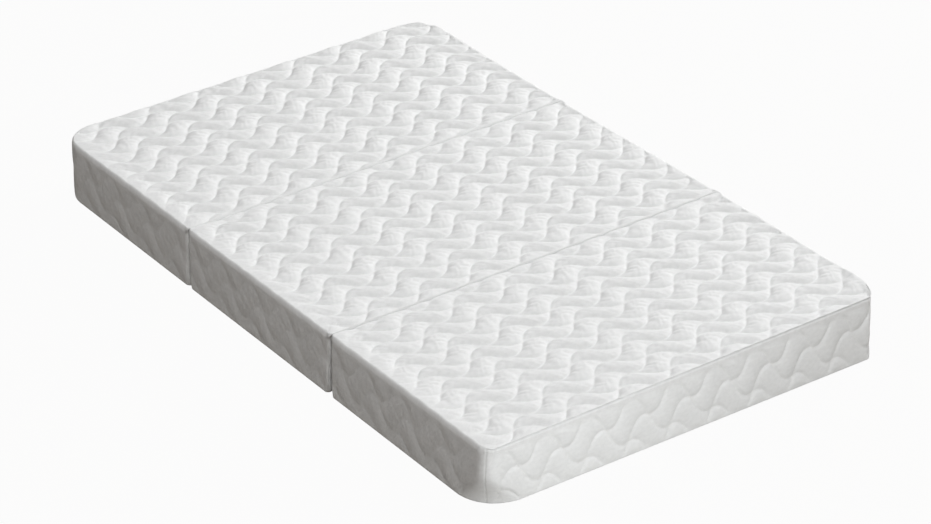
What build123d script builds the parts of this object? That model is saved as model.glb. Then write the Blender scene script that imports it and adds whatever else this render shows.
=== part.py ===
from build123d import *
from collections import namedtuple
import os

# A tri-fold memory foam mattress: three foam panels, each in its own pocket of a quilted knit cover,
# joined by stitched fabric hinges so that it folds into a stack.
# Millimetres. X runs across the width, Y from the foot end to the head end, Z up.
# The origin is the middle of the underside.

# Overall size
mattress_width = 610.0
mattress_length = 965.0
mattress_height = 89.0

# Plan shape of the panels
fold_gap = 3.0
end_corner_radius = 48.0
fold_corner_radius = 8.0
smallest_corner_radius = 0.5

# Quilted cover
quilt_height = 10.0
face_thickness = 2.0
border_thickness = 6.0
bottom_thickness = 2.0
top_edge_radius = 2.0
bottom_edge_radius = 1.0
seam_reach = 8.0

# Fabric hinges at the folds
hinge_thickness = 1.5
hinge_stitch_gap = 0.3

# Foam core in its liner
memory_foam_height = 30.0
liner_thickness = 1.0
core_clearance = 1.5
layer_clearance = 0.3

# Zip in the side of each panel
zip_level = 26.0
zip_window = 16.0
zip_corner_margin = 8.0
tape_thickness = 0.8
tape_width = 12.0
tape_gap = 0.4
tape_tail = 7.0
coil_width = 5.6
coil_height = 1.8
stop_length = 4.0

# Zip slider and its pull tab
slider_length = 11.0
slider_flange = 1.1
slider_plate = 1.0
slider_corner_radius = 2.0
slider_clearance = 0.3
bridge_length = 4.6
bridge_width = 2.4
bridge_bar = 0.7
bridge_round = 0.5
bridge_opening_length = 2.6
bridge_opening_height = 1.4
pull_length = 24.0
pull_width = 6.0
pull_thickness = 0.9
pull_hole_length = 5.0
pull_hole_width = 3.2
pull_tip_radius = 2.5
pull_end_clearance = 2.0

# The three panels share the length that the two fold gaps leave.
panel_length = (mattress_length - 2 * fold_gap) / 3
panel_pitch = panel_length + fold_gap

# Levels and insets of the layers, from the outside in
quilt_floor = mattress_height - quilt_height
border_height = quilt_floor - bottom_thickness
corner_wrap = border_thickness + seam_reach
core_inset = border_thickness + core_clearance
foam_inset = core_inset + liner_thickness + layer_clearance
foam_floor = bottom_thickness + liner_thickness
foam_height = border_height - 2 * liner_thickness
support_foam_height = foam_height - memory_foam_height

# A hinge flange reaches from a panel's fold face to the stitches on the fold line.
hinge_length = mattress_width - 2 * fold_corner_radius
hinge_reach = (fold_gap - hinge_stitch_gap) / 2
hinge_offset = (fold_gap + hinge_stitch_gap) / 4
top_hinge_floor = mattress_height - top_edge_radius - hinge_thickness
bottom_hinge_floor = bottom_edge_radius

# Along the zip: the coil stops short of the window's foot end by the room that the pull tab needs there.
zip_length = panel_length - 2 * (end_corner_radius + zip_corner_margin)
slider_end_offset = stop_length + slider_clearance + slider_length / 2
pull_room = pull_length + pull_end_clearance - slider_end_offset
coil_start = pull_room - zip_length / 2
coil_end = zip_length / 2
slider_rest = coil_end - slider_end_offset

# Across the zip, outward from the tape
slider_width = coil_width + 2 * (slider_clearance + slider_flange)
plate_floor = coil_height + slider_clearance
plate_top = plate_floor + slider_plate
pull_level = plate_top + bridge_opening_height / 2

Panel = namedtuple("Panel", "name centre near_radius far_radius")
foot = Panel("foot", -panel_pitch, end_corner_radius, fold_corner_radius)
middle = Panel("middle", 0, fold_corner_radius, fold_corner_radius)
head = Panel("head", panel_pitch, fold_corner_radius, end_corner_radius)


def panel_outline(panel, inset):
    """Plan outline of a panel, drawn inset from its outer face: large corners at a mattress end only."""
    with BuildSketch() as outline:
        with Locations((0, panel.centre)):
            Rectangle(mattress_width - 2 * inset, panel_length - 2 * inset)
        near_corners = outline.vertices().group_by(Axis.Y)[0]
        fillet(near_corners, max(panel.near_radius - inset, smallest_corner_radius))
        far_corners = outline.vertices().group_by(Axis.Y)[-1]
        fillet(far_corners, max(panel.far_radius - inset, smallest_corner_radius))
    return outline.sketch


def support_foam(panel):
    """Firm base foam, lying on the floor of the liner."""
    with BuildPart() as foam:
        with BuildSketch(Plane.XY.offset(foam_floor)):
            add(panel_outline(panel, foam_inset))
        extrude(amount=support_foam_height)
    return foam


def memory_foam(panel):
    """Slow-recovery foam layer on top of the base foam."""
    with BuildPart() as foam:
        with BuildSketch(Plane.XY.offset(foam_floor + support_foam_height)):
            add(panel_outline(panel, foam_inset))
        extrude(amount=memory_foam_height)
    return foam


def foam_liner(panel):
    """Closed inner sock that holds the two foam layers together."""
    with BuildPart() as liner:
        with BuildSketch(Plane.XY.offset(bottom_thickness)):
            add(panel_outline(panel, core_inset))
        extrude(amount=border_height)
        with BuildSketch(Plane.XY.offset(foam_floor)):
            add(panel_outline(panel, core_inset + liner_thickness))
        extrude(amount=foam_height, mode=Mode.SUBTRACT)
    return liner


def quilt_face(panel):
    """Knit face of the quilted top: a shallow tray, open below, with a softened top edge."""
    with BuildPart() as face:
        with BuildSketch(Plane.XY.offset(quilt_floor)):
            add(panel_outline(panel, 0))
        extrude(amount=quilt_height)
        fillet(face.edges().group_by(Axis.Z)[-1], top_edge_radius)
        with BuildSketch(Plane.XY.offset(quilt_floor)):
            add(panel_outline(panel, face_thickness))
        extrude(amount=quilt_height - face_thickness, mode=Mode.SUBTRACT)
    return face


def quilt_wadding(panel):
    """Fibre wadding that fills the quilted top under its face."""
    with BuildPart() as wadding:
        with BuildSketch(Plane.XY.offset(quilt_floor)):
            add(panel_outline(panel, face_thickness + layer_clearance))
        extrude(amount=quilt_height - face_thickness)
    return wadding


def bottom_cover(panel):
    """Plain fabric of the underside, softened along its lower edge."""
    with BuildPart() as cover:
        with BuildSketch():
            add(panel_outline(panel, 0))
        extrude(amount=bottom_thickness)
        fillet(cover.edges().group_by(Axis.Z)[0], bottom_edge_radius)
    return cover


def border(panel, seam_centre, seam_size):
    """One sewn length of the border wall: what lies of the ring round a panel between its seams."""
    with BuildPart() as wall:
        with BuildSketch(Plane.XY.offset(bottom_thickness)):
            add(panel_outline(panel, 0))
            add(panel_outline(panel, border_thickness), mode=Mode.SUBTRACT)
            with Locations(seam_centre):
                Rectangle(*seam_size, mode=Mode.INTERSECT)
        extrude(amount=border_height)
    return wall


def side_border(panel, side):
    """Long border of one side, turned round the corners as far as its seams."""
    seam_centre = (side * (mattress_width - corner_wrap) / 2, panel.centre)
    return border(panel, seam_centre, (corner_wrap, panel_length))


def cross_border(panel, side):
    """Border across the width, at an end of the mattress or at a fold."""
    seam_centre = (0, panel.centre + side * panel_length / 4)
    return border(panel, seam_centre, (mattress_width - 2 * corner_wrap, panel_length / 2))


def zip_plane(panel):
    """Plane of the zip tape: local x along the zip, local y up, facing out of the right side."""
    return Plane((mattress_width / 2 - border_thickness, panel.centre, zip_level), (0, 1, 0), (1, 0, 0))


def zip_border(panel):
    """Right border, with the window that the zip lies in."""
    with BuildPart() as wall:
        add(side_border(panel, 1).part)
        with BuildSketch(zip_plane(panel)):
            Rectangle(zip_length, zip_window)
        extrude(amount=border_thickness, mode=Mode.SUBTRACT)
    return wall


def zip_tapes(panel):
    """Upper and lower woven tapes, sewn behind the edges of the window."""
    with BuildPart() as tapes:
        with BuildSketch(zip_plane(panel).offset(-tape_thickness)):
            with GridLocations(0, tape_width + tape_gap, 1, 2):
                Rectangle(zip_length + 2 * tape_tail, tape_width)
        extrude(amount=tape_thickness)
    return tapes


def zip_coil(panel):
    """Closed nylon coil along the meeting edges of the tapes."""
    with BuildPart() as coil:
        with BuildSketch(zip_plane(panel)):
            with Locations(((coil_start + coil_end) / 2, 0)):
                Rectangle(coil_end - coil_start - 2 * stop_length, coil_width)
        extrude(amount=coil_height)
    return coil


def zip_stops(panel):
    """Crimped stops at the two ends of the coil."""
    with BuildPart() as stops:
        with BuildSketch(zip_plane(panel)):
            with Locations((coil_start + stop_length / 2, 0), (coil_end - stop_length / 2, 0)):
                Rectangle(stop_length, coil_width)
        extrude(amount=coil_height)
    return stops


def zip_slider(panel):
    """Slider straddling the coil, with a bridge on its plate for the pull tab."""
    with BuildPart() as slider:
        with BuildSketch(zip_plane(panel).offset(slider_clearance)):
            with Locations((slider_rest, 0)):
                RectangleRounded(slider_length, slider_width, slider_corner_radius)
        extrude(amount=plate_top - slider_clearance)
        with BuildSketch(zip_plane(panel)):
            with Locations((slider_rest, 0)):
                Rectangle(slider_length, coil_width + 2 * slider_clearance)
        extrude(amount=plate_floor, mode=Mode.SUBTRACT)
        with BuildSketch(zip_plane(panel).offset(plate_top)):
            with Locations((slider_rest, 0)):
                Rectangle(bridge_length, bridge_width)
        extrude(amount=bridge_opening_height + bridge_bar)
        fillet(slider.edges().filter_by(Axis.Z).group_by(Axis.X)[-1], bridge_round)
        with BuildSketch(zip_plane(panel).offset(plate_top)):
            with Locations((slider_rest, 0)):
                Rectangle(bridge_opening_length, bridge_width)
        extrude(amount=bridge_opening_height, mode=Mode.SUBTRACT)
    return slider


def zip_pull(panel):
    """Flat pull tab whose round cross bar lies under the slider's bridge."""
    bar_plane = Plane.XY.offset(zip_level - pull_width / 2)
    bar_x = mattress_width / 2 - border_thickness + pull_level
    with BuildPart() as pull:
        with BuildSketch(zip_plane(panel).offset(pull_level - pull_thickness / 2)) as tab:
            with Locations((slider_rest - pull_length / 2, 0)):
                Rectangle(pull_length, pull_width)
            fillet(tab.vertices().group_by(Axis.X)[0], pull_tip_radius)
            with Locations((slider_rest - pull_hole_length / 2, 0)):
                Rectangle(pull_hole_length, pull_hole_width, mode=Mode.SUBTRACT)
        extrude(amount=pull_thickness)
        with BuildSketch(bar_plane):
            with Locations((bar_x, panel.centre + slider_rest)):
                Circle(pull_thickness / 2)
        extrude(amount=pull_width)
    return pull


def hinge_flange(panel, side, floor):
    """Tongue of cover fabric from a panel's fold face to the stitches on the fold line."""
    fold_line = panel.centre + side * panel_pitch / 2
    with BuildPart() as flange:
        with BuildSketch(Plane.XY.offset(floor)):
            with Locations((0, fold_line - side * hinge_offset)):
                Rectangle(hinge_length, hinge_reach)
        extrude(amount=hinge_thickness)
    return flange


def save(piece, label):
    """Names a finished piece and writes its file."""
    piece.part.label = label
    export_step(piece.part, f"parts/{label}.step")


os.makedirs("parts", exist_ok=True)

# Every panel holds the same layers and the same zip.
for panel in (foot, middle, head):
    save(support_foam(panel), f"{panel.name}_support_foam")
    save(memory_foam(panel), f"{panel.name}_memory_foam")
    save(foam_liner(panel), f"{panel.name}_foam_liner")
    save(quilt_wadding(panel), f"{panel.name}_quilt_wadding")
    save(quilt_face(panel), f"{panel.name}_quilt_face")
    save(bottom_cover(panel), f"{panel.name}_bottom_cover")
    save(side_border(panel, -1), f"{panel.name}_left_border")
    save(zip_border(panel), f"{panel.name}_right_border")
    save(zip_tapes(panel), f"{panel.name}_zip_tapes")
    save(zip_coil(panel), f"{panel.name}_zip_coil")
    save(zip_stops(panel), f"{panel.name}_zip_stops")
    save(zip_slider(panel), f"{panel.name}_zip_slider")
    save(zip_pull(panel), f"{panel.name}_zip_pull")

# Borders across the width: one at each end of the mattress, and one on each face of the two folds
save(cross_border(foot, -1), "foot_end_border")
save(cross_border(foot, 1), "foot_fold_border")
save(cross_border(middle, -1), "middle_foot_fold_border")
save(cross_border(middle, 1), "middle_head_fold_border")
save(cross_border(head, -1), "head_fold_border")
save(cross_border(head, 1), "head_end_border")

# The foot fold is hinged along the top of the mattress, the head fold along its underside.
save(hinge_flange(foot, 1, top_hinge_floor), "foot_top_hinge_flange")
save(hinge_flange(middle, -1, top_hinge_floor), "middle_top_hinge_flange")
save(hinge_flange(middle, 1, bottom_hinge_floor), "middle_bottom_hinge_flange")
save(hinge_flange(head, -1, bottom_hinge_floor), "head_bottom_hinge_flange")
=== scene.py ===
import math
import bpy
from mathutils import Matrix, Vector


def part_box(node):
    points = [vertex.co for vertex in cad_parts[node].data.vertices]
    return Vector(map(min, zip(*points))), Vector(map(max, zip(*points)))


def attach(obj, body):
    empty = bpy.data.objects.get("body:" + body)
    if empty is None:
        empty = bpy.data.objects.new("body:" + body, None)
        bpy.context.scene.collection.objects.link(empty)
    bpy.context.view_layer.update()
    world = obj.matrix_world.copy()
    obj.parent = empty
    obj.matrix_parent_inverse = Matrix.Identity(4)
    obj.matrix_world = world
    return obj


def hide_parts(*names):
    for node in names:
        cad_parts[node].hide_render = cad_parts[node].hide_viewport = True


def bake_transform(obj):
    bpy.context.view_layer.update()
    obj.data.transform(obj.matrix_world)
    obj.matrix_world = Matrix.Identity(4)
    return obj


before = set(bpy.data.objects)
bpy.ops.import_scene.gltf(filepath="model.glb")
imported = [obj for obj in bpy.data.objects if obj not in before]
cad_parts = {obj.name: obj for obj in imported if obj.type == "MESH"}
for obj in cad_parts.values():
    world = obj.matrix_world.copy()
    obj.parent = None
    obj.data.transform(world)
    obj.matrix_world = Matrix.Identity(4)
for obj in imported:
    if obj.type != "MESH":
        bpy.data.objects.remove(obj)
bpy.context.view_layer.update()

from types import SimpleNamespace

import bmesh
import bpy
import numpy as np
from mathutils import Matrix, Vector

MM = 0.001

# Foam cores
# Each panel holds a block of firm support foam with a softer slab of memory foam lying on it, both cut from
# larger blocks with a hot wire. The plan has wide corners at the mattress ends and tight ones at the folds.
PANELS = ("foot", "middle", "head")
END_CORNER = 48 * MM
FOLD_CORNER = 8 * MM
TAUT_FOLD_CORNER = 4.6 * MM
TAUT_ABOVE = 18 * MM
SMALLEST_CORNER = 0.1 * MM
# Corners of the foot end, as how far they reach across and along: at the floor, and pulled by seams above it
FLOOR_LEFT = 56 * MM
PULLED_LEFT = np.array((14.0, 20.0)) * MM
SQUARE_ABOVE = 50 * MM
FLOOR_RIGHT = np.array((16.0, 48.0)) * MM
PULLED_RIGHT = np.array((28.0, 82.0)) * MM
PUSHED_OUT = 13 * MM
PUSHED_FROM = 310 * MM
PUSHED_RUN = 600 * MM
PUSHED_ABOVE = 40 * MM
FOAM_EDGE = 3 * MM
FOAM_EDGE_STEPS = 6
FOAM_GRID = 9 * MM
FOAM_MOTTLE = 18 * MM
FOAM_PIT = 0.4 * MM
span = {panel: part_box(f"{panel}_bottom_cover") for panel in PANELS}
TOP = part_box("foot_quilt_face")[1].z


def linear(code):
    """Turns an sRGB hex colour into the linear colour that a shader socket takes."""
    parts = [int(code[i:i + 2], 16) / 255 for i in (1, 3, 5)]
    return [c / 12.92 if c <= 0.04045 else ((c + 0.055) / 1.055) ** 2.4 for c in parts] + [1.0]


def wire(tree, node, sockets):
    """Sets sockets of a node to plain values, or links them to an output, or to a node's first output."""
    for key, value in sockets.items():
        if isinstance(value, bpy.types.Node):
            value = value.outputs[0]
        if isinstance(value, bpy.types.NodeSocket):
            tree.links.new(value, node.inputs[key])
        else:
            node.inputs[key].default_value = value


def add(tree, kind, sockets=(), **settings):
    """Adds a node to a tree, with its settings and its sockets."""
    node = tree.nodes.new(kind)
    for name, value in settings.items():
        setattr(node, name, value)
    wire(tree, node, dict(sockets))
    return node


def new_finish(name, roughness, specular=0.3):
    """A material and its tree, with the principled shader's plain values set on its own sockets."""
    finish = bpy.data.materials.new(name)
    finish.use_nodes = True
    shader = finish.node_tree.nodes["Principled BSDF"]
    wire(finish.node_tree, shader, {"Roughness": roughness, "Specular IOR Level": specular})
    return finish, finish.node_tree, shader


def cut_foam(name, pale, deep, cell):
    """Cut polyurethane foam: matt, with the open cells of the cut face as fine pits and a soft mottle."""
    finish, tree, shader = new_finish(name, roughness=0.95, specular=0.15)
    place = add(tree, "ShaderNodeTexCoord").outputs["Object"]
    cells = add(tree, "ShaderNodeTexVoronoi", {"Vector": place, "Scale": 1 / cell}, feature="F1")
    mottle = add(tree, "ShaderNodeTexNoise", {"Vector": place, "Scale": 1 / FOAM_MOTTLE, "Detail": 5.0})
    shade = add(tree, "ShaderNodeMapRange", {"Value": mottle, "From Min": 0.3, "From Max": 0.7})
    tones = {0: shade, 6: linear(deep), 7: linear(pale)}
    colour = add(tree, "ShaderNodeMix", tones, data_type="RGBA")
    pits = add(tree, "ShaderNodeBump", {"Height": cells, "Strength": 0.5, "Distance": FOAM_PIT})
    wire(tree, shader, {"Base Color": colour.outputs[2], "Normal": pits})
    return finish


def ease(value):
    """A smooth step from 0 to 1."""
    value = np.clip(value, 0, 1)
    return value * value * (3 - 2 * value)


def pushed(y):
    """How far the top of the right side is pushed out, at a place along the mattress."""
    return PUSHED_OUT * ease((PUSHED_FROM - y) / PUSHED_RUN)


def plan(panel, u, v, inset, level=0.0):
    """Plan point at u, v from -1 to 1 across and along a panel, on its outline drawn in by inset. The corners
    at the folds are taut above the floor. The left corner of the foot end is round at the floor and pulled
    out square by its seams above. The top of the right side is pushed out towards the foot end."""
    low, high = span[panel]
    u, v, inset, level = np.broadcast_arrays(u, v, inset, level)
    half = np.stack([(high.x - low.x) / 2 - inset, (high.y - low.y) / 2 - inset])
    foot_end = (v < 0) & (panel == "foot")
    head_end = (v > 0) & (panel == "head")
    pair = (2,) + (1,) * u.ndim
    taut = ease(level / TAUT_ABOVE)
    fold_corner = FOLD_CORNER * (1 - taut) + TAUT_FOLD_CORNER * taut
    corner = np.where(head_end, END_CORNER, fold_corner) + np.zeros(half.shape)
    raised = ease(level / SQUARE_ABOVE)
    left = FLOOR_LEFT * (1 - raised) + PULLED_LEFT.reshape(pair) * raised
    upper_part = ease((level - PUSHED_ABOVE) / (TOP - PUSHED_ABOVE))
    right = FLOOR_RIGHT.reshape(pair) * (1 - upper_part) + PULLED_RIGHT.reshape(pair) * upper_part
    corner = np.where(foot_end, np.where(u < 0, left, right), corner)
    corner = np.maximum(corner - inset, SMALLEST_CORNER)
    straight = half - corner
    place = np.stack([u, v]) * half
    past = np.clip(np.abs(place) - straight, 0, corner) / corner
    rounded = past * corner * np.sqrt(1 - past[::-1] ** 2 / 2)
    place = np.sign(place) * (np.minimum(np.abs(place), straight) + rounded)
    x, y = place[0] + (low.x + high.x) / 2, place[1] + (low.y + high.y) / 2
    right_part = ease(2 * x / high.x - 1)
    return x + pushed(y) * upper_part * right_part, y


def rim(grid):
    """Point numbers round the edge of a grid, anticlockwise from its near left corner."""
    return np.concatenate([grid[0, :-1], grid[:-1, -1], grid[-1, :0:-1], grid[:0:-1, 0]])


def grid_faces(grid):
    """Upward faces of a grid of point numbers."""
    return np.stack([grid[:-1, :-1], grid[:-1, 1:], grid[1:, 1:], grid[1:, :-1]], -1).reshape(-1, 4)


def strip(upper, lower):
    """Outward faces between two closed rows of point numbers, one below the other."""
    return np.stack([upper, lower, np.roll(lower, -1), np.roll(upper, -1)], -1)


def slab(panel, inset, low, high):
    """Points and faces of a closed slab of foam on a panel's plan, with its edges a little rounded."""
    size = span[panel][1] - span[panel][0]
    across = np.linspace(-1, 1, round(size.x / FOAM_GRID) + 1)
    along = np.linspace(-1, 1, round(size.y / FOAM_GRID) + 1)
    u, v = np.meshgrid(across, along)
    x, y = plan(panel, u, v, inset + FOAM_EDGE)
    grid = np.arange(u.size).reshape(u.shape)
    border = rim(grid)
    rows = [border]
    points = [np.stack([x, y, np.full(x.shape, high)], -1).reshape(-1, 3)]
    turns = np.linspace(0, math.pi / 2, FOAM_EDGE_STEPS)
    profile = [(1 - math.sin(t), high - FOAM_EDGE * (1 - math.cos(t))) for t in turns[1:]]
    profile += [(1 - math.cos(t), low + FOAM_EDGE * (1 - math.sin(t))) for t in turns[:-1]]
    for drawn, level in profile:
        x, y = plan(panel, u.ravel()[border], v.ravel()[border], inset + FOAM_EDGE * drawn)
        rows.append(sum(len(p) for p in points) + np.arange(len(border)))
        points.append(np.stack([x, y, np.full(x.shape, level)], -1))
    under = sum(len(p) for p in points)
    points.append(points[0] * (1, 1, 0) + (0, 0, low))
    rows.append(under + border)
    faces = [grid_faces(grid)] + [strip(a, b) for a, b in zip(rows, rows[1:])]
    faces.append(under + grid_faces(grid)[:, ::-1])
    return np.concatenate(points), np.concatenate(faces)


def placed(name, data):
    """An object for a mesh, a lamp or a camera, in the scene at the origin."""
    made = bpy.data.objects.new(name, data)
    bpy.context.scene.collection.objects.link(made)
    return made


def piece(name, points, faces, finish):
    """A smooth mesh object with one finish, in place at the origin."""
    mesh = bpy.data.meshes.new(name)
    mesh.from_pydata(np.asarray(points).tolist(), [], [list(map(int, f)) for f in faces])
    mesh.polygons.foreach_set("use_smooth", [True] * len(mesh.polygons))
    mesh.materials.append(finish)
    return placed(name, mesh)


support_foam = cut_foam("high_density_polyurethane_foam", "#ECE9E0", "#E2DED2", 0.9 * MM)
memory_foam = cut_foam("viscoelastic_memory_foam", "#F3EEDD", "#EAE2CB", 0.6 * MM)
for panel in PANELS:
    for layer, foam in (("support_foam", support_foam), ("memory_foam", memory_foam)):
        node = f"{panel}_{layer}"
        low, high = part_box(node)
        inset = low.x - span[panel][0].x
        points, faces = slab(panel, inset, low.z, high.z)
        block = piece(f"{panel}_{layer}_block", points, faces, foam)
        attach(block, f"{panel}_panel")
        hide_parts(node)

# Foam liners
# A thin knitted sock holds the two foams of a panel together, so that the cover can come off for washing.
# It is sewn from a fine white jersey and fits the foam closely.
ROWS_PER_LOOP = 1.3
LOOP_RISE = 0.6
FUZZ = 0.5 * MM
LINER_LOOP = 1.2 * MM
LINER_RELIEF = 0.1 * MM


def jersey(name, pale, deep, loop, relief, place=None):
    """Weft-knitted polyester: matt white with rows of small V-shaped loops, and a soft fibre sheen. The loops
    are drawn two or three times as wide as real ones, so that they show."""
    finish, tree, shader = new_finish(name, roughness=0.9, specular=0.2)
    if place:
        spot = add(tree, "ShaderNodeUVMap", uv_map=place).outputs["UV"]
    else:
        spot = add(tree, "ShaderNodeTexCoord").outputs["Object"]
    scale = (1 / loop, ROWS_PER_LOOP / loop, ROWS_PER_LOOP / loop)
    loops = add(tree, "ShaderNodeMapping", {"Vector": spot, "Scale": scale})
    axes = add(tree, "ShaderNodeSeparateXYZ", {"Vector": loops}).outputs
    side = add(tree, "ShaderNodeMath", {0: axes["X"], 1: 1.0}, operation="PINGPONG")
    row = add(tree, "ShaderNodeMath", {0: axes["Y"], 1: axes["Z"]}, operation="ADD")
    slant = add(tree, "ShaderNodeMath", {0: side, 1: LOOP_RISE, 2: row}, operation="MULTIPLY_ADD")
    turn = add(tree, "ShaderNodeMath", {0: slant, 1: 2 * math.pi}, operation="MULTIPLY")
    yarn = add(tree, "ShaderNodeMath", {0: turn}, operation="SINE")
    fibre = add(tree, "ShaderNodeTexNoise", {"Vector": loops, "Scale": 0.35, "Detail": 4.0})
    shade = add(tree, "ShaderNodeMapRange", {"Value": fibre, "From Min": 0.35, "From Max": 0.65})
    tones = {0: shade, 6: linear(deep), 7: linear(pale)}
    colour = add(tree, "ShaderNodeMix", tones, data_type="RGBA")
    bump = add(tree, "ShaderNodeBump", {"Height": yarn, "Strength": 0.6, "Distance": relief})
    fuzz = add(tree, "ShaderNodeBump", {"Height": fibre, "Strength": 0.35, "Distance": FUZZ, "Normal": bump})
    wire(tree, shader, {"Sheen Weight": 0.12, "Sheen Roughness": 0.6})
    wire(tree, shader, {"Base Color": colour.outputs[2], "Normal": fuzz})
    return finish


def refinish(node, finish):
    """Gives a piece that is carried over from the solid model its real finish."""
    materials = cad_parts[node].data.materials
    materials.clear()
    materials.append(finish)


liner_jersey = jersey("fine_liner_jersey", "#F1F1EE", "#E8E8E4", LINER_LOOP, LINER_RELIEF)
for panel in PANELS:
    refinish(f"{panel}_foam_liner", liner_jersey)

# Quilted tops
# The top of each panel is knit quilted to polyester wadding: two families of S-shaped stitch lines cross and
# leave wave-shaped puffs. It rolls over the long sides, and is sewn off flat at the ends and the folds.
SEAM_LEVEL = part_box("foot_quilt_face")[0].z
# The stitch lines in plan: one wave along a row, the next row, where each panel's rows start, in mm, and how
# far the lines swing to and fro. Then the block of cells that is simulated, and how its heights are evened.
WAVE_STEP = np.array((79.0, -0.7)) * MM
WAVE_ROW = np.array((-7.0, 38.5)) * MM
WAVE_START = {"foot": (-233.8, -325.1), "middle": (-282.8, -80.0), "head": (-269.1, 329.4)}
SWING = 1.25
BLOCK = 4
FINE = 24
LARGER = 25
FIRST_BULGE = 2 * MM
BLOWN_FRAMES = 25
SOFTENED = 30
FULL_PERCENT = 99
FULLEST = 1.05
ROUND_SHARE = 0.45
ROUND_POWER = 0.8
PACKED_SHARE = 0.55
PACKED = 0.3


def swung(along):
    """How far the stitch lines swing to and fro, in rows, at a place along a row in waves."""
    return SWING / (2 * math.pi) * np.sin(2 * math.pi * along)


def blown_cells():
    """Heights over a block of quilted cells, 1 at the highest: cloth sewn down along the stitch lines and
    pushed up by the wadding. They are simulated larger than life, because the solver works best on pieces of
    a metre."""
    count = BLOCK * FINE + 1
    line = np.arange(count) / FINE
    rising, falling = np.meshgrid(line, line, indexing="ij")
    crown = np.abs(np.sin(math.pi * rising) * np.sin(math.pi * falling))
    along = (falling - rising) / 2
    up = (rising + falling) / 2 - swung(along)
    flat = along[..., None] * WAVE_STEP + up[..., None] * WAVE_ROW
    start = np.concatenate([flat, crown[..., None] * FIRST_BULGE], -1).reshape(-1, 3) * LARGER
    grid = np.arange(count * count).reshape(count, count)
    mesh = bpy.data.meshes.new("quilt_cells")
    mesh.from_pydata(start.tolist(), [], grid_faces(grid)[:, ::-1].tolist())
    if mesh.polygons[0].normal.z < 0:
        mesh.flip_normals()
    cells = placed("quilt_cells", mesh)
    on_line = np.arange(count) % FINE == 0
    cells.vertex_groups.new(name="sewn").add(grid[on_line[:, None] | on_line].tolist(), 1.0, "REPLACE")
    cloth = cells.modifiers.new("wadding", "CLOTH")
    cloth.settings.vertex_group_mass = "sewn"
    cloth.settings.quality = 6
    cloth.settings.bending_stiffness = 4.0
    cloth.settings.tension_damping = 15.0
    cloth.settings.compression_damping = 15.0
    cloth.settings.use_pressure = True
    cloth.settings.uniform_pressure_force = 4.0
    cloth.settings.shrink_min = -0.04
    cloth.settings.effector_weights.gravity = 0.0
    for step in range(1, BLOWN_FRAMES + 1):
        bpy.context.scene.frame_set(step)
    blown = cells.evaluated_get(bpy.context.evaluated_depsgraph_get()).data
    soft = np.array([v.co.z for v in blown.vertices]).reshape(count, count) / LARGER
    bpy.data.objects.remove(cells)
    bpy.context.scene.frame_set(1)
    loose = ~(on_line[1:-1, None] | on_line[None, 1:-1])
    for evened in range(SOFTENED):
        inner = (soft[:-2, 1:-1] + soft[2:, 1:-1] + soft[1:-1, :-2] + soft[1:-1, 2:]) / 4
        soft[1:-1, 1:-1] = (soft[1:-1, 1:-1] + inner) / 2 * loose
    soft = np.clip(soft / np.percentile(soft, FULL_PERCENT), 0, FULLEST)
    return ROUND_SHARE * soft ** ROUND_POWER + PACKED_SHARE * soft * (1 + PACKED) / (soft + PACKED)


FILLING = (0.86, 1.06)
FILLED_CELLS = 32
PUCKER_LINES = 64
cell_heights = blown_cells()
chance = np.random.default_rng(7)
cell_filling = chance.uniform(*FILLING, (FILLED_CELLS, FILLED_CELLS))
pucker_phase = chance.uniform(0, 1, PUCKER_LINES)


def puffed(along, up):
    """Height of the quilting, 0 on a stitch line, at a place in waves along a row and in rows."""
    level = up + swung(along)
    rising, falling = level - along, level + along
    spot = [np.mod(line, BLOCK) * FINE for line in (rising, falling)]
    a, b = (np.minimum(s.astype(int), BLOCK * FINE - 1) for s in spot)
    past_a, past_b = spot[0] - a, spot[1] - b
    h = cell_heights
    near_row = h[a, b] * (1 - past_b) + h[a, b + 1] * past_b
    next_row = h[a + 1, b] * (1 - past_b) + h[a + 1, b + 1] * past_b
    filling = cell_filling[tuple(np.floor(line).astype(int) % FILLED_CELLS for line in (rising, falling))]
    return (near_row * (1 - past_a) + next_row * past_a) * filling


PUCKER = 0.46 * MM
PUCKERS_PER_CELL = 4.2
PUCKER_REACH = 0.18
PUCKER_SLANT = -0.5
PUCKER_SHARES = (1.0, 0.45)
WANDER = 1.7
WANDER_RATE = 1.37
WANDER_START = 3


def puckered(along, up):
    """Small creases that the stitching pulls across its lines, from -1 to 1, at a place in waves and rows."""
    level = up + swung(along)
    rising, falling = level - along, level + along
    total = 0
    for line, run, share in zip((rising, falling), (falling, rising), PUCKER_SHARES):
        off = line - np.round(line)
        far = np.abs(off) / PUCKER_REACH
        phase = pucker_phase[np.round(line).astype(int) % PUCKER_LINES]
        wander = WANDER * np.sin(2 * math.pi * (WANDER_RATE * run + WANDER_START * phase))
        crease = np.sin(2 * math.pi * (PUCKERS_PER_CELL * (run + PUCKER_SLANT * off) + phase) + wander)
        total = total + share * crease * far * np.exp(1 - far) * np.sin(math.pi * run) ** 2
    return total


# The height of the puffs, how they flatten by the edges, and how the top swells and rises below them
TOP_PUFF = 5.2 * MM
TOP_MEAN = 2.4 * MM
MEAN_PUFF = 0.64
LEFT_STRIP = 6 * MM
LEFT_GROWTH = 26 * MM
RIGHT_GROWTH = 10 * MM
SIDE_SHARE = 0.2
SEWN_STRIP = 1 * MM
SEWN_GROWTH = 9 * MM
SEWN_SHARE = 0.35
SWELL = 0.21 * MM
SWELL_WAVES = ((17, 9, 0), (-11, 23, 2))
SWELL_FADE = 20 * MM
LEFT_RISE = 1.4 * MM
LEFT_RISE_END = 34 * MM
LEFT_RISE_RUN = 22 * MM


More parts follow.
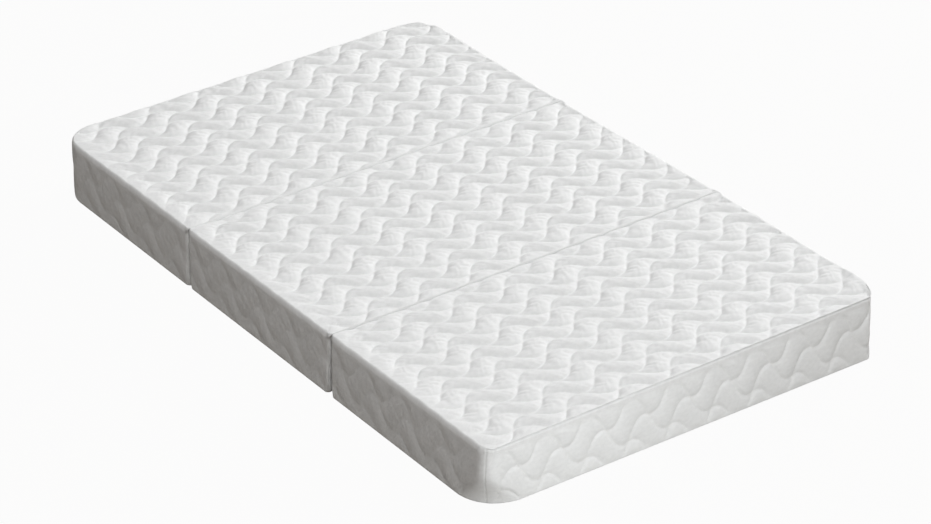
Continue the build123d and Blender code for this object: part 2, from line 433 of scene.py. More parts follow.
def top_sunk(panel, x, y):
    """How far the quilted top lies below its highest level at a plan point. The puffs are flatter by the
    edges, the foam swells here and there, and the strip along the left edge lies a little higher."""
    low, high = span[panel]
    off = np.stack([x, y], -1) - np.array(WAVE_START[panel]) * MM
    place = off @ np.linalg.inv(np.stack([WAVE_STEP, WAVE_ROW]))
    waves, rows = place[..., 0], place[..., 1]
    height = puffed(waves, rows) + PUCKER / TOP_PUFF * puckered(waves, rows)
    from_left, from_right = x - low.x, high.x + pushed(y) - x
    from_sewn = np.minimum(y - low.y, high.y - y)
    sides = np.minimum(ease((from_left - LEFT_STRIP) / LEFT_GROWTH), ease(from_right / RIGHT_GROWTH))
    share = SEWN_SHARE + (1 - SEWN_SHARE) * ease((from_sewn - SEWN_STRIP) / SEWN_GROWTH)
    share = share * (SIDE_SHARE + (1 - SIDE_SHARE) * sides)
    swell = SWELL * sum(np.sin(a * x + b * y + c) for a, b, c in SWELL_WAVES) * ease(from_sewn / SWELL_FADE)
    rise = LEFT_RISE * ease((LEFT_RISE_END - from_left) / LEFT_RISE_RUN)
    return TOP_MEAN - rise - TOP_PUFF * (height - MEAN_PUFF) * share + swell


LEFT_SPREAD = 4 * MM
NEAR_SPREAD = 8.6 * MM
SPREAD_EDGE = 8 * MM
SPREAD_FADE = 40 * MM


def spread(x, y, level):
    """A wall point moved out towards the floor, as the soft foam lies: on the left side most at the near end,
    and on the near end most at its right."""
    low, high = span["foot"][0], span["head"][1]
    lower_part = 1 - np.clip(level / TOP, 0, 1)
    left = (1 - ease((x - low.x - SPREAD_EDGE) / SPREAD_FADE)) * (high.y - y) / (high.y - low.y)
    near = (1 - ease((y - low.y - SPREAD_EDGE) / SPREAD_FADE)) * (x - low.x) / (high.x - low.x)
    return x - LEFT_SPREAD * left * lower_part, y - NEAR_SPREAD * near * lower_part


SKIN_GRID = 1.65 * MM
TIGHT_GRID = 0.9 * MM
TIGHT_REACH = 12 * MM
EVENED = 6


def spaced(half, middle_stops=(), step=SKIN_GRID):
    """Places from -1 to 1 along an edge, close together by the corners, with some stops exactly met."""
    inner = half - TIGHT_REACH
    middle = np.linspace(-inner, inner, round(2 * inner / step) + 1)
    for stop in middle_stops:
        middle[np.argmin(np.abs(middle - stop))] = stop
    ends = np.linspace(inner, half, round(TIGHT_REACH / TIGHT_GRID) + 1)[1:]
    return np.concatenate([-ends[::-1], middle, ends]) / half


def blurred(values):
    """Values round a closed row, evened out over some neighbours on either side."""
    wide = np.concatenate([values[-EVENED:], values, values[:EVENED]])
    return np.convolve(wide, np.ones(2 * EVENED + 1) / (2 * EVENED + 1), "valid")


SIDE_WRAP = 14 * MM


def outline_of(panel, stops):
    """The top grid of a panel and its outline at half height, with the length run round it, the length along
    each wall from that wall's middle, the way out, and the columns where the border pieces are sewn to each
    other: in the middle of a wide corner, or a little way along a fold."""
    skin = SimpleNamespace()
    low, high = span[panel]
    centre_y = (low.y + high.y) / 2
    across = spaced((high.x - low.x) / 2)
    along = spaced((high.y - low.y) / 2, stops)
    skin.grid_u, skin.grid_v = np.meshgrid(across, along)
    skin.grid = np.arange(skin.grid_u.size).reshape(skin.grid_u.shape)
    border = rim(skin.grid)
    skin.u, skin.v = skin.grid_u.ravel()[border], skin.grid_v.ravel()[border]
    skin.side = np.repeat(range(4), [len(across) - 1, len(along) - 1] * 2)
    x, y = plan(panel, skin.u, skin.v, 0, TOP / 2)
    step = np.hypot(np.roll(x, -1) - x, np.roll(y, -1) - y)
    skin.run = np.concatenate([[0], np.cumsum(step)[:-1]])
    skin.whole_run = skin.run[-1] + step[-1]
    along_x, along_y = np.roll(x, -1) - np.roll(x, 1), np.roll(y, -1) - np.roll(y, 1)
    size = np.hypot(along_x, along_y)
    skin.out_x, skin.out_y = along_y / size, -along_x / size
    skin.local = np.zeros(len(border))
    for number, values in enumerate((x, y - centre_y, -x, -(y - centre_y))):
        columns = np.flatnonzero(skin.side == number)
        middle = columns[np.argmin(np.abs(values[columns]))]
        skin.local[columns] = skin.run[columns] - skin.run[middle] + values[middle]
    skin.corners = np.flatnonzero((np.abs(skin.u) == 1) & (np.abs(skin.v) == 1))
    skin.at_fold = np.array([panel != "foot"] * 2 + [panel != "head"] * 2)
    skin.seams = skin.corners.copy()
    for corner, (number, sign) in enumerate(((0, -1), (0, 1), (2, 1), (2, -1))):
        if skin.at_fold[corner]:
            columns = np.flatnonzero(skin.side == number)
            seam_x = sign * ((high.x - low.x) / 2 - SIDE_WRAP)
            skin.seams[corner] = columns[np.argmin(np.abs(x[columns] - seam_x))]
    return skin


# The four walls of each panel, anticlockwise from the near one. An "over" fold is hinged along the top, and
# an "under" fold along the floor. The sizes are in mm: how wide and how deep the top edge rolls over, the
# roll at the floor, how far the top edge stands out as a lip, how far the foot leans in, and the quilting's
# height and the length of its waves.
WALLS = {"foot": ("near", "right", "over", "left"), "middle": ("over", "right", "under", "left"),
         "head": ("under", "right", "far", "left")}
WALL_SIZES = ("roll", "drop", "foot_roll", "lip", "foot_lean", "puff", "step")
WALL = {kind: dict(zip(WALL_SIZES, sizes)) for kind, sizes in {
    "left": (3.6, 12.0, 3.5, 0.0, 0.0, 1.0, 72.5),
    "right": (7.0, 9.0, 3.5, 0.0, 0.0, 1.0, 72.5),
    "near": (1.3, 1.3, 2.5, 0.3, 0.0, 2.3, 64.75),
    "far": (6.0, 9.0, 4.0, 0.0, 0.0, 3.0, 64.75),
    "over": (1.5, 1.5, 6.0, 1.3, 2.2, 1.4, 70.0),
    "under": (1.65, 1.65, 1.6, 1.38, 0.0, 1.4, 70.0),
}.items()}
GRID_INSET = 19 * MM
ROLLED_DROP = 7 * MM
ON_TOP, ABOVE_SEAM, ON_WALL, AT_FOOT = range(4)
FLAT_ROWS = 10
ROLL_ROWS = 8
SEAM_SHARES = (0.035, 0.07, 0.105, 0.16, 0.22, 0.4, 0.6, 0.8, 1.0)
SEAM_ROW = FLAT_ROWS + ROLL_ROWS + len(SEAM_SHARES)
WALL_ROWS = 41
FOOT_ROWS = 4
FOOT_TURN = math.radians(55)


def rolled(level, roll, drop):
    """How far a rolled top edge is drawn in at a level, and its tilt: 0 faces up, a right angle faces out."""
    turn = np.arccos(np.clip(1 - (TOP - level) / drop, 0, 1))
    return roll * (1 - np.sin(turn)), np.arctan2(drop * np.sin(turn), roll * np.cos(turn))


def shares(count):
    """Even shares from above 0 up to 1."""
    return np.linspace(0, 1, count + 1)[1:]


def wall_rows(roll, drop, foot_roll):
    """Rows from the flat top over its rolled edge and down the walls to the floor. Each has how far it is
    drawn in from the outline, its level, its tilt, and the part of the skin that it lies on."""
    fallen = np.minimum(drop, ROLLED_DROP)
    turned = np.arccos(1 - fallen / drop)
    steepest = rolled(TOP - fallen, roll, drop)[1]
    level = []
    for share in shares(ROLL_ROWS):
        turn = (np.arctan(roll / drop * np.tan(share * steepest)) + share * turned) / 2
        level.append(TOP - drop * (1 - np.cos(turn)))
    level += [(TOP - fallen) * (1 - share) + SEAM_LEVEL * share for share in SEAM_SHARES]
    level += [SEAM_LEVEL * (1 - share) + foot_roll * share for share in shares(WALL_ROWS)]
    inset, tilt = (list(values) for values in rolled(np.array(level), roll, drop))
    inset = [GRID_INSET + (roll - GRID_INSET) * share for share in shares(FLAT_ROWS)] + inset
    tilt = [np.zeros(len(roll))] * FLAT_ROWS + tilt
    level = [np.full(len(roll), TOP)] * FLAT_ROWS + level
    for turn in np.linspace(0, FOOT_TURN, FOOT_ROWS + 1)[1:]:
        inset.append(foot_roll * (1 - np.cos(turn)))
        level.append(foot_roll * (1 - np.sin(turn)))
        tilt.append(np.full(len(roll), math.pi / 2 + turn))
    part = np.repeat((ON_TOP, ABOVE_SEAM, ON_WALL, AT_FOOT),
                     (FLAT_ROWS + ROLL_ROWS, len(SEAM_SHARES), WALL_ROWS, FOOT_ROWS))
    return np.array(inset), np.array(level), np.array(tilt), part[:, None]


# The quilting of the walls: where its waves start, in mm, how full it is, how it begins and fades, and what
# is drawn in beside it
WALL_WAVE_START = {"foot": (-257.0, -132.8, 0.0, -132.8), "middle": (0.0, -132.8, 0.0, -132.8),
                   "head": (0.0, -144.8, -257.0, -144.8)}
WALL_ROW = np.array((-5.0, 59.0)) * MM
WALL_WAVE_LEVEL = 50 * MM
WALL_MEAN = 0.65
WALL_PUCKER = 0.3 * PUCKER
HIGHEST_PUFF = 1.1
END_FULLER = 0.3
SIDE_SOFTER = 0.8
BELOW_SEAM = 8 * MM
EDGE_SHARE = 0.35
EDGE_TILT = 0.7
EDGE_TILT_RUN = 0.8
SIDE_BEGINS = 10 * MM
SIDE_GROWTH = 12 * MM
FADE_AT_FOLD = 9 * MM
FADE_AT_HEAD = 14 * MM
FADE_ON_SIDE = 40 * MM
FADE_ON_END = 20 * MM
GROOVE_DEPTH = 1.7 * MM
GROOVE_BELOW = 2.6 * MM
GROOVE_WIDTH = 1.0 * MM
SEAM_DEPTH = 0.45 * MM
SEAM_WIDTH = 0.7 * MM
SEAM_BELOW = 1 * MM
SEAM_FADE = 3 * MM
ZIP_LOW = 18 * MM
ZIP_HIGH = 34 * MM
ZIP_END = 7 * MM
ZIP_FADE = 12 * MM
ZIP_DEPTH = 1.6 * MM
ZIP_TURN = 2 * MM


def wall_sunk(panel, skin, kinds, puff, is_end, sharp):
    """How far the walls lie below their smooth shape: between the puffs, in the groove under the top edge of
    an end, in the seams from border to border, and at the turned edge of the zip's opening."""
    level = skin.level
    step = np.array([WALL[kind]["step"] for kind in kinds]) * MM
    start = np.array(WALL_WAVE_START[panel])[skin.side] * MM
    up = (level - WALL_WAVE_LEVEL) / WALL_ROW[1]
    waves = (skin.local - start - up * WALL_ROW[0]) / step
    fullness = 1 - END_FULLER * is_end + SIDE_SOFTER * (1 - sharp)
    height = np.clip(puffed(waves, up), 0, HIGHEST_PUFF) ** fullness
    on_edge = EDGE_SHARE * ease((skin.tilt - EDGE_TILT) / EDGE_TILT_RUN)
    on_side = (1 - EDGE_SHARE) * ease((TOP - SIDE_BEGINS - level) / SIDE_GROWTH)
    begins = np.where(sharp > 0.5, ease((SEAM_LEVEL - level) / BELOW_SEAM), on_edge + on_side)
    off = np.abs(skin.run - skin.run[skin.seams][:, None])
    from_seams = np.minimum(off, skin.whole_run - off)
    on_end = np.where((kinds == "left") | (kinds == "right"), FADE_ON_SIDE, FADE_ON_END)
    fading = np.where(skin.at_fold[:, None], FADE_AT_FOLD, FADE_AT_HEAD if panel == "head" else on_end)
    share = begins * ease((level - SEWN_STRIP) / SEWN_GROWTH) * ease(from_seams / fading).min(0)
    sunk = (puff * (WALL_MEAN - height) - WALL_PUCKER * puckered(waves, up)) * share
    sunk += GROOVE_DEPTH * is_end * np.exp(-((level - (TOP - GROOVE_BELOW)) / GROOVE_WIDTH) ** 2)
    in_seam = SEAM_DEPTH * np.exp(-(from_seams.min(0) / SEAM_WIDTH) ** 2)
    sunk += in_seam * ease((TOP - SEAM_BELOW - level) / SEAM_FADE)
    low, high = skin.window
    off_y = np.maximum(np.abs(skin.local - (low + high) / 2) - (high - low) / 2, 0)
    off_z = np.maximum(np.abs(level - (ZIP_LOW + ZIP_HIGH) / 2) - (ZIP_HIGH - ZIP_LOW) / 2, 0)
    from_zip = np.hypot(off_y, off_z)
    by_zip = sunk * ease(from_zip / ZIP_FADE) + ZIP_DEPTH * np.exp(-(from_zip / ZIP_TURN) ** 2)
    return np.where(kinds == "right", by_zip, sunk)


def face_normals(points, quads):
    """Soft normals at the points of a mesh of four-sided faces."""
    corners = points[quads]
    flat = np.cross(corners[:, 2] - corners[:, 0], corners[:, 3] - corners[:, 1])
    total = np.zeros_like(points)
    for k in range(4):
        np.add.at(total, quads[:, k], flat)
    return total / np.maximum(np.linalg.norm(total, axis=1, keepdims=True), 1e-12)


# How far an end's edge is kept round its corner, the lips and the bow of the walls, and how the quilting of
# the top fades over an edge
EDGE_KEPT = 100 * MM
LIP_RUN = 12 * MM
LIP_HEIGHT = 2.4 * MM
BOW = 0.8 * MM
BOW_POWER = 0.6
BOW_FADE = 12 * MM
SHARP_FADE = (0.2, 1.2)
SOFT_FADE = (0.5, 1.0)
LIFT_BEFORE = 35 * MM
LIFT_INSET = 12 * MM
LIFT_RUN = 9 * MM
LIFT = 0.75
WALL_DRAPE = 0.6


def skin_of(panel):
    """The outer face of one panel's cover: a grid over the top, and rows of points down from its rim."""
    low, high = span[panel]
    tape_low, tape_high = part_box(f"{panel}_zip_tapes")
    centre_y = (low.y + high.y) / 2
    window = (tape_low.y - centre_y + ZIP_END, tape_high.y - centre_y - ZIP_END)
    skin = outline_of(panel, window)
    skin.window = window
    kinds = np.array(WALLS[panel])[skin.side]
    long_side = (kinds == "left") | (kinds == "right")

    # The near end's edge is kept for some way round its right corner
    past_corner = skin.run - skin.run[skin.corners[1]]
    turned_in = (skin.side == 1) * (1 - ease(past_corner / EDGE_KEPT)) * (panel == "foot")
    before = (skin.side == 0) * (1 - ease(-past_corner / LIFT_BEFORE)) * (panel == "foot")
    each = {}
    for key in ("roll", "drop", "foot_roll", "lip", "foot_lean", "puff"):
        values = np.array([WALL[kind][key] for kind in kinds])
        each[key] = blurred((values + (WALL["near"][key] - values) * turned_in) * MM)
    is_end = blurred(np.maximum((kinds == "near") | (kinds == "far"), turned_in))
    sharp = blurred((~long_side).astype(float))

    # The smooth shape of the walls, with rows that meet the zip's opening
    inset, level, tilt, part = wall_rows(each["roll"], each["drop"], each["foot_roll"])
    for stop in (ZIP_LOW, ZIP_HIGH):
        off = np.abs(level[:, long_side].mean(1) - stop)
        level[np.argmin(np.where(part[:, 0] == ON_WALL, off, np.inf)), long_side] = stop
    skin.level, skin.tilt = level, tilt
    on_edge = ease((level - TOP + LIP_HEIGHT) / (LIP_HEIGHT / 2))
    lip = each["lip"] * np.where(part == ON_TOP, ease((GRID_INSET - inset) / LIP_RUN), on_edge)
    lean = each["foot_lean"] * (1 - level / TOP) * (part > ON_TOP) - lip
    bow = BOW * (1 - np.sin(math.pi * np.clip(level / TOP, 0, 1)) ** BOW_POWER) * (part > ON_TOP)
    bow *= ease((TOP - level) / BOW_FADE) * (1 - (1 - sharp) * ease((level - TOP / 2) / (TOP / 4)))
    drawn = inset + lean + bow
    skin.foot_drawn, skin.foot_level = drawn[-1], level[-1]
    x, y = spread(*plan(panel, skin.u, skin.v, drawn, level), level)
    wall_points = np.stack([x, y, level], -1)
    normal = np.stack([skin.out_x * np.sin(tilt), skin.out_y * np.sin(tilt), np.cos(tilt)], -1)

    # The quilting of the walls, and that of the top, which fades out over the rolled edge
    sunk = wall_sunk(panel, skin, kinds, each["puff"], is_end, sharp)
    fade = [1 - ease((tilt - start) / run) for start, run in (SHARP_FADE, SOFT_FADE)]
    fade = np.where(sharp > 0.5, *fade) * (part == ON_TOP)
    lifted = blurred(turned_in + before) * ease((LIFT_INSET - inset) / LIFT_RUN)
    sunk = sunk + fade * top_sunk(panel, x, y) * (1 - LIFT * lifted)
    wall_points = wall_points - normal * sunk[..., None]
    grid_x, grid_y = plan(panel, skin.grid_u, skin.grid_v, GRID_INSET, TOP)
    top_points = np.stack([grid_x, grid_y, np.full(grid_x.shape, TOP)], -1).reshape(-1, 3)
    top_points[:, 2] -= top_sunk(panel, top_points[:, 0], top_points[:, 1])
    skin.points = np.concatenate([top_points, wall_points.reshape(-1, 3)])

    # Faces, soft normals, the corners of the zip's opening, and where the knit's loops are drawn
    border = rim(skin.grid)
    below = skin.grid.size + np.arange(level.size).reshape(level.shape)
    skin.rows = np.concatenate([border[None], below])
    bands = np.array([strip(a, b) for a, b in zip(skin.rows, skin.rows[1:])])
    skin.top_faces = np.concatenate([grid_faces(skin.grid), *bands[:SEAM_ROW]])
    skin.normals = face_normals(skin.points, np.concatenate([skin.top_faces, *bands[SEAM_ROW:]]))
    right = np.flatnonzero(kinds == "right")
    skin.window_columns = [right[np.argmin(np.abs(skin.local[right] - end))] for end in window]
    heights = level[:, long_side].mean(1)
    skin.window_rows = [int(np.argmin(np.abs(heights - stop))) for stop in (ZIP_HIGH, ZIP_LOW)]
    path = GRID_INSET - inset + np.maximum(TOP - level, 0) * WALL_DRAPE
    rim_x, rim_y = grid_x.ravel()[border], grid_y.ravel()[border]
    unrolled = np.stack([rim_x + skin.out_x * path, rim_y + skin.out_y * path], -1)
    skin.weave = np.concatenate([np.stack([grid_x, grid_y], -1).reshape(-1, 2), unrolled.reshape(-1, 2)])
    wall_weave = np.stack(np.broadcast_arrays(skin.run, level), -1).reshape(-1, 2)
    skin.wall_weave = np.concatenate([np.zeros((skin.grid.size, 2)), wall_weave])
    return skin


def sewn(name, skin, outer, inner_points, inner_faces, weave, finish):
    """A closed padded piece: a part of the skin with its soft normals, and the faces that close it behind."""
    points = np.concatenate([skin.points, inner_points])
    faces = [tuple(f) for f in outer] + [tuple(f) for f in inner_faces]
    order = np.concatenate([np.ravel(f) for f in faces])
    used = np.unique(order)
    short = np.full(len(points), -1)
    short[used] = np.arange(len(used))
    made = piece(name, points[used], [short[list(f)] for f in faces], finish)
    mesh = made.data
    flat = np.zeros(len(mesh.polygons) * 3)
    mesh.polygons.foreach_get("normal", flat)
    behind = np.repeat(flat.reshape(-1, 3)[len(outer):], [len(f) for f in inner_faces], 0)
    normals = np.concatenate([skin.normals[order[:outer.size]], behind])
    mesh.normals_split_custom_set(normals.tolist())
    layer = mesh.uv_layers.new(name="weave")
    places = np.concatenate([weave, np.zeros((len(inner_points), 2))])
    layer.data.foreach_set("uv", places[order].ravel())
    return made


# The loops of the knit are drawn about three times as wide as real ones, so that they show
KNIT_LOOP = 2.2 * MM
KNIT_RELIEF = 0.16 * MM
LINING_INSET = 5 * MM
LINING_RISE = 0.3 * MM
quilted_knit = jersey("quilted_polyester_knit", "#EFF0F0", "#E9EAEA", KNIT_LOOP, KNIT_RELIEF, place="weave")
skins = {panel: skin_of(panel) for panel in PANELS}
for panel in PANELS:
    skin = skins[panel]
    edge = skin.rows[SEAM_ROW]
    x, y = spread(*plan(panel, skin.u, skin.v, LINING_INSET, SEAM_LEVEL), SEAM_LEVEL)
    lining = np.stack([x, y, np.full(x.shape, SEAM_LEVEL + LINING_RISE)], -1)
    lining_row = len(skin.points) + np.arange(len(edge))
    back = list(strip(edge, lining_row)) + [lining_row[::-1]]
    top = sewn(f"{panel}_quilted_top", skin, skin.top_faces, lining, back, skin.weave, quilted_knit)
    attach(top, f"{panel}_panel")
    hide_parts(f"{panel}_quilt_face", f"{panel}_quilt_wadding")

# Borders
# The walls of each panel are strips of the same quilted knit on thin wadding, sewn to the top's edge and to
# each other: two long sides that wrap the corners, and an end or a fold wall between them.
CROSS_BORDERS = {"foot": ("foot_end", "foot_fold"), "middle": ("middle_foot_fold", "middle_head_fold"),
                 "head": ("head_fold", "head_end")}
BORDER_BACK = 5.7 * MM
BACK_LEVELS = (SEAM_LEVEL - 0.3 * MM, 64 * MM, 50 * MM, 2.2 * MM)
ZIP_WALL = 1
ZIP_BACK = 0.6 * MM
OVER_ZIP = 3
UNDER_ZIP = 4
border_knit = jersey("quilted_border_knit", "#EFF0F0", "#E9EAEA", KNIT_LOOP, KNIT_RELIEF, place="weave")
for panel in PANELS:
    skin = skins[panel]
    count = len(skin.u)
    near, far = CROSS_BORDERS[panel]
    for number, place in enumerate((near, f"{panel}_right", far, f"{panel}_left")):
        node = f"{place}_border"
        first, last = skin.seams[number], skin.seams[(number + 1) % 4]
        columns = np.arange(first, last + 1 if last > first else last + count + 1) % count
        rows = skin.rows[SEAM_ROW:][:, columns]
        cells = np.ones((rows.shape[0] - 1, len(columns) - 1), bool)
        levels = list(BACK_LEVELS)
        if number == ZIP_WALL:
            upper, lower = (row + 1 - SEAM_ROW for row in skin.window_rows)
            left, right = (int(np.flatnonzero(columns == c)[0]) for c in skin.window_columns)
            cells[upper:lower, left:right] = False
            levels[OVER_ZIP:OVER_ZIP] = [ZIP_HIGH + ZIP_BACK, ZIP_LOW - ZIP_BACK]
        outer = np.stack([rows[:-1, :-1], rows[1:, :-1], rows[1:, 1:], rows[:-1, 1:]], -1)[cells]
        back_points = []
        for z in levels:
            x, y = spread(*plan(panel, skin.u[columns], skin.v[columns], BORDER_BACK, z), z)
            back_points.append(np.stack([x, y, np.full(x.shape, z)], -1))
        back_points = np.concatenate(back_points)
        back = len(skin.points) + np.arange(len(back_points)).reshape(len(levels), -1)
        back_cells = np.ones((len(levels) - 1, len(columns) - 1), bool)
        if number == ZIP_WALL:
            back_cells[OVER_ZIP, left:right] = False
        closing = list(np.stack([back[:-1, :-1], back[:-1, 1:], back[1:, 1:], back[1:, :-1]], -1)[back_cells])
        for k in range(len(columns) - 1):
            closing.append((rows[0, k], rows[0, k + 1], back[0, k + 1], back[0, k]))
            closing.append((rows[-1, k + 1], rows[-1, k], back[-1, k], back[-1, k + 1]))
        closing.append([*back[:, 0], *rows[::-1, 0]])
        closing.append([*back[::-1, -1], *rows[:, -1]])
        if number == ZIP_WALL:
            over, under = back[OVER_ZIP], back[UNDER_ZIP]
            for k in range(left, right):
                closing.append((rows[upper, k + 1], rows[upper, k], over[k], over[k + 1]))
                closing.append((rows[lower, k], rows[lower, k + 1], under[k + 1], under[k]))
            closing.append([*rows[upper:lower + 1, left], under[left], over[left]])
            closing.append([*rows[upper:lower + 1, right][::-1], over[right], under[right]])
        wall = sewn(f"{node}_quilt", skin, outer, back_points, closing, skin.wall_weave, border_knit)
        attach(wall, f"{panel}_panel")
        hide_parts(node)

# Zips
# Each cover opens at the right-hand side with a coil zip: two woven tapes sewn behind the border's window, a
# coil of nylon loops along their edges, two crimped stops, and a die-cast slider with a flat pull tab.
TAPE_WIDTH = 12 * MM
TAPE_EDGE_STEPS = 7
TAPE_RELIEF = 0.15 * MM
RIBS_PER_TURN = 3.0
LOOP_PITCH = 1.45 * MM
LOOP_SIZE = (1.15 * MM, 3.3 * MM, 1.5 * MM)
LOOP_OFF = 1.25 * MM
LOOP_SUNK = 0.1 * MM
LOOP_SLANT = 0.3
NYLON_CLOUD = 3 * MM
CASTING_RIPPLE = 2.5 * MM
CASTING_RELIEF = 0.1 * MM
SHARP_EDGE = math.radians(50)


def twill(name, pale, deep, thread):
    """Woven polyester tape: matt, with slanting ribs that turn back and forth across its width. The ribs are
    drawn wider than real ones, so that they show."""
    finish, tree, shader = new_finish(name, roughness=0.85, specular=0.25)
    place = add(tree, "ShaderNodeTexCoord").outputs["Object"]
    threads = add(tree, "ShaderNodeVectorMath", {0: place, 3: 1 / thread}, operation="SCALE")
    axes = add(tree, "ShaderNodeSeparateXYZ", {"Vector": threads}).outputs
    turned = add(tree, "ShaderNodeMath", {0: axes["Z"], 1: RIBS_PER_TURN}, operation="PINGPONG")
    rib = add(tree, "ShaderNodeMath", {0: turned, 1: axes["Y"]}, operation="ADD")
    turn = add(tree, "ShaderNodeMath", {0: rib, 1: 2 * math.pi}, operation="MULTIPLY")
    wave = add(tree, "ShaderNodeMath", {0: turn}, operation="SINE")
    shade = add(tree, "ShaderNodeMapRange", {"Value": wave, "From Min": -1.0, "From Max": 0.4})
    tones = {0: shade, 6: linear(deep), 7: linear(pale)}
    colour = add(tree, "ShaderNodeMix", tones, data_type="RGBA")
    bump = add(tree, "ShaderNodeBump", {"Height": wave, "Strength": 0.7, "Distance": TAPE_RELIEF})
    wire(tree, shader, {"Base Color": colour.outputs[2], "Normal": bump})
    return finish


def nylon(name, pale, deep):
    """Extruded nylon: smooth and slightly glossy, with a faint waxy unevenness."""
    finish, tree, shader = new_finish(name, roughness=0.38, specular=0.5)
    place = add(tree, "ShaderNodeTexCoord").outputs["Object"]
    cloud = add(tree, "ShaderNodeTexNoise", {"Vector": place, "Scale": 1 / NYLON_CLOUD, "Detail": 3.0})
    tones = {0: cloud, 6: linear(deep), 7: linear(pale)}
    colour = add(tree, "ShaderNodeMix", tones, data_type="RGBA")
    wire(tree, shader, {"Base Color": colour.outputs[2]})
    return finish


def plated_zinc(name, pale, deep):
    """Die-cast zinc with a bright nickel plate: grey metal with soft casting ripples and rubbed patches."""
    finish, tree, shader = new_finish(name, roughness=0.3, specular=0.5)
    place = add(tree, "ShaderNodeTexCoord").outputs["Object"]
    ripple = add(tree, "ShaderNodeTexNoise", {"Vector": place, "Scale": 1 / CASTING_RIPPLE, "Detail": 4.0})
    tones = {0: ripple, 6: linear(deep), 7: linear(pale)}
    colour = add(tree, "ShaderNodeMix", tones, data_type="RGBA")
    rubbed = add(tree, "ShaderNodeMapRange", {"Value": ripple, "To Min": 0.22, "To Max": 0.45})
    bump = add(tree, "ShaderNodeBump", {"Height": ripple, "Strength": 0.25, "Distance": CASTING_RELIEF})
    wire(tree, shader, {"Metallic": 1.0, "Roughness": rubbed})
    wire(tree, shader, {"Base Color": colour.outputs[2], "Normal": bump})
    return finish


def close_up(made):
    """Turns the faces of a closed mesh outwards."""
    shape = bmesh.new()
    shape.from_mesh(made.data)
    bmesh.ops.recalc_face_normals(shape, faces=shape.faces)
    shape.to_mesh(made.data)
    shape.free()


def drawn_out(name, sections, finish):
    """A closed piece through a row of like sections, with its ends capped and its sharp edges kept."""
    sections = np.asarray(sections)
    count = sections.shape[1]
    ring = np.arange(count)
    faces = []
    for k in range(len(sections) - 1):
        faces += list(strip(k * count + ring, (k + 1) * count + ring))
    faces += [ring, (len(sections) - 1) * count + ring[::-1]]
    made = piece(name, sections.reshape(-1, 3), faces, finish)
    close_up(made)
    made.data.set_sharp_from_angle(angle=SHARP_EDGE)
    return made


def row_builder():
    """A node tree that lays small round bodies along the lines of a mesh, each facing out of the surface."""
    tree = bpy.data.node_groups.new("rows_along_lines", "GeometryNodeTree")
    for name, kind in (("Lines", "Geometry"), ("Pitch", "Float"), ("Size", "Vector"), ("Finish", "Material")):
        tree.interface.new_socket(name, in_out="INPUT", socket_type=f"NodeSocket{kind}")
    tree.interface.new_socket("Rows", in_out="OUTPUT", socket_type="NodeSocketGeometry")
    given = add(tree, "NodeGroupInput").outputs
    path = add(tree, "GeometryNodeMeshToCurve", {"Mesh": given["Lines"]})
    spots = add(tree, "GeometryNodeResampleCurve", {"Curve": path, "Length": given["Pitch"]}, mode="LENGTH")
    facing = add(tree, "GeometryNodeInputNamedAttribute", {"Name": "facing"}, data_type="FLOAT_VECTOR")
    slant = add(tree, "GeometryNodeInputNamedAttribute", {"Name": "slant"}, data_type="FLOAT")
    tangent = add(tree, "GeometryNodeInputTangent")
    along = add(tree, "FunctionNodeAlignRotationToVector", {"Vector": tangent}, axis="X")
    outward = add(tree, "FunctionNodeAlignRotationToVector", {"Rotation": along, "Vector": facing},
                  axis="Z", pivot_axis="X")
    lean = add(tree, "FunctionNodeAxisAngleToRotation", {"Axis": (0, 0, 1), "Angle": slant})
    turned = add(tree, "FunctionNodeRotateRotation", {"Rotation": outward, "Rotate By": lean},
                 rotation_space="LOCAL")
    body = add(tree, "GeometryNodeMeshUVSphere", {"Segments": 6, "Rings": 3, "Radius": 0.5})
    sized = add(tree, "GeometryNodeTransform", {"Geometry": body, "Scale": given["Size"]})
    laid = add(tree, "GeometryNodeInstanceOnPoints", {"Points": spots, "Instance": sized, "Rotation": turned})
    real = add(tree, "GeometryNodeRealizeInstances", {"Geometry": laid})
    smooth = add(tree, "GeometryNodeSetShadeSmooth", {"Geometry": real})
    dressed = add(tree, "GeometryNodeSetMaterial", {"Geometry": smooth, "Material": given["Finish"]})
    add(tree, "NodeGroupOutput", {"Rows": dressed})
    return tree


rows_along_lines = row_builder()


def laid_in_rows(name, lines, pitch, size, finish):
    """A plain mesh of small bodies along lines, each line given by its points, its facings and its slant."""
    mesh = bpy.data.meshes.new(f"{name}_lines")
    starts = np.cumsum([0] + [len(points) for points, facings, slant in lines])
    edges = [(k, k + 1) for a, b in zip(starts, starts[1:]) for k in range(a, b - 1)]
    mesh.from_pydata(np.concatenate([points for points, facings, slant in lines]).tolist(), edges, [])
    facings = np.concatenate([np.broadcast_to(facings, points.shape) for points, facings, slant in lines])
    slants = np.concatenate([np.full(len(points), slant) for points, facings, slant in lines])
    mesh.attributes.new("facing", "FLOAT_VECTOR", "POINT").data.foreach_set("vector", facings.ravel())
    mesh.attributes.new("slant", "FLOAT", "POINT").data.foreach_set("value", slants)
    guide = placed(f"{name}_lines", mesh)
    rows = guide.modifiers.new("rows", "NODES")
    rows.node_group = rows_along_lines
    socket = {item.name: item.identifier for item in rows_along_lines.interface.items_tree}
    rows[socket["Pitch"]] = pitch
    rows[socket["Size"]] = size
    rows[socket["Finish"]] = finish
    plain = bpy.data.meshes.new_from_object(guide.evaluated_get(bpy.context.evaluated_depsgraph_get()))
    bpy.data.objects.remove(guide)
    plain.name = name
    return placed(name, plain)


